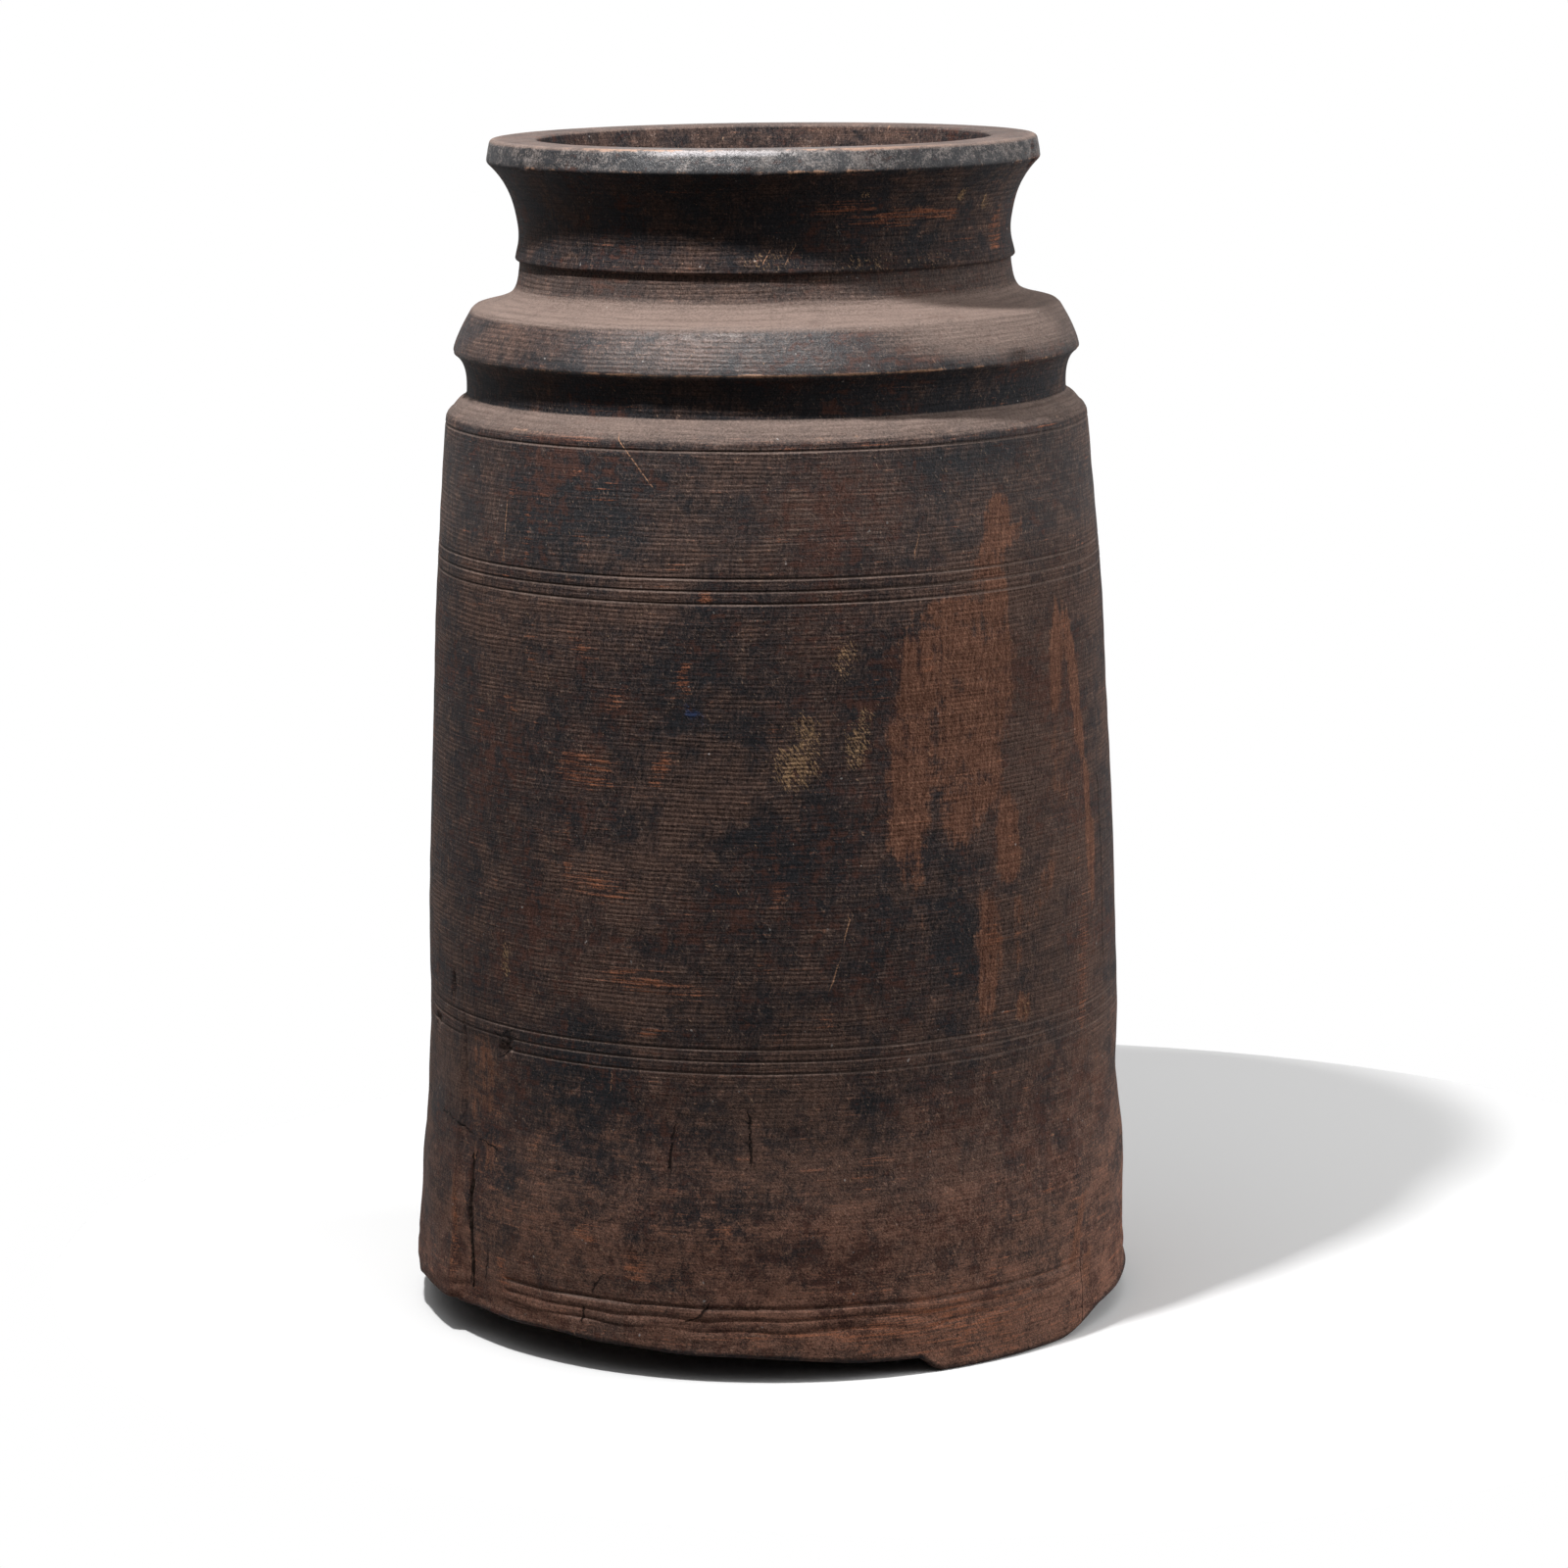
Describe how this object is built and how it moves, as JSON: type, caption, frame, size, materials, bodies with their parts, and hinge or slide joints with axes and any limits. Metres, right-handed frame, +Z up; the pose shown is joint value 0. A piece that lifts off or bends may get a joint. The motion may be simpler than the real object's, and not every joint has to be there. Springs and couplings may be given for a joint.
{
  "type": "wooden milk pot",
  "caption": "Lathe-turned wooden milk pot with a flared rim, short neck, stepped shoulder and tall grooved body on low feet, closed below by a let-in round board.",
  "frame": {"origin": "on the turning axis at floor level, which is the middle of the base", "axes": "+Z up along the turning axis; -Y towards the viewer of the picture; +X to the viewer's right"},
  "size_m": [0.276, 0.2756, 0.45],
  "materials": {
    "patinated_wood": "turned hardwood, nearly black with use, satin sheen, worn to brown on edges and in patches",
    "board_wood": "hand-dressed board, dull, stained dark",
    "pitch": "hardened pitch, smooth and slightly glossy",
    "old_pitch": "old pitch, pitted and dull"
  },
  "bodies": {
    "root": {"pot_body": "patinated_wood", "bottom_board": "board_wood", "bottom_seal": "pitch", "split_filling": "old_pitch"}
  },
  "joints": []
}
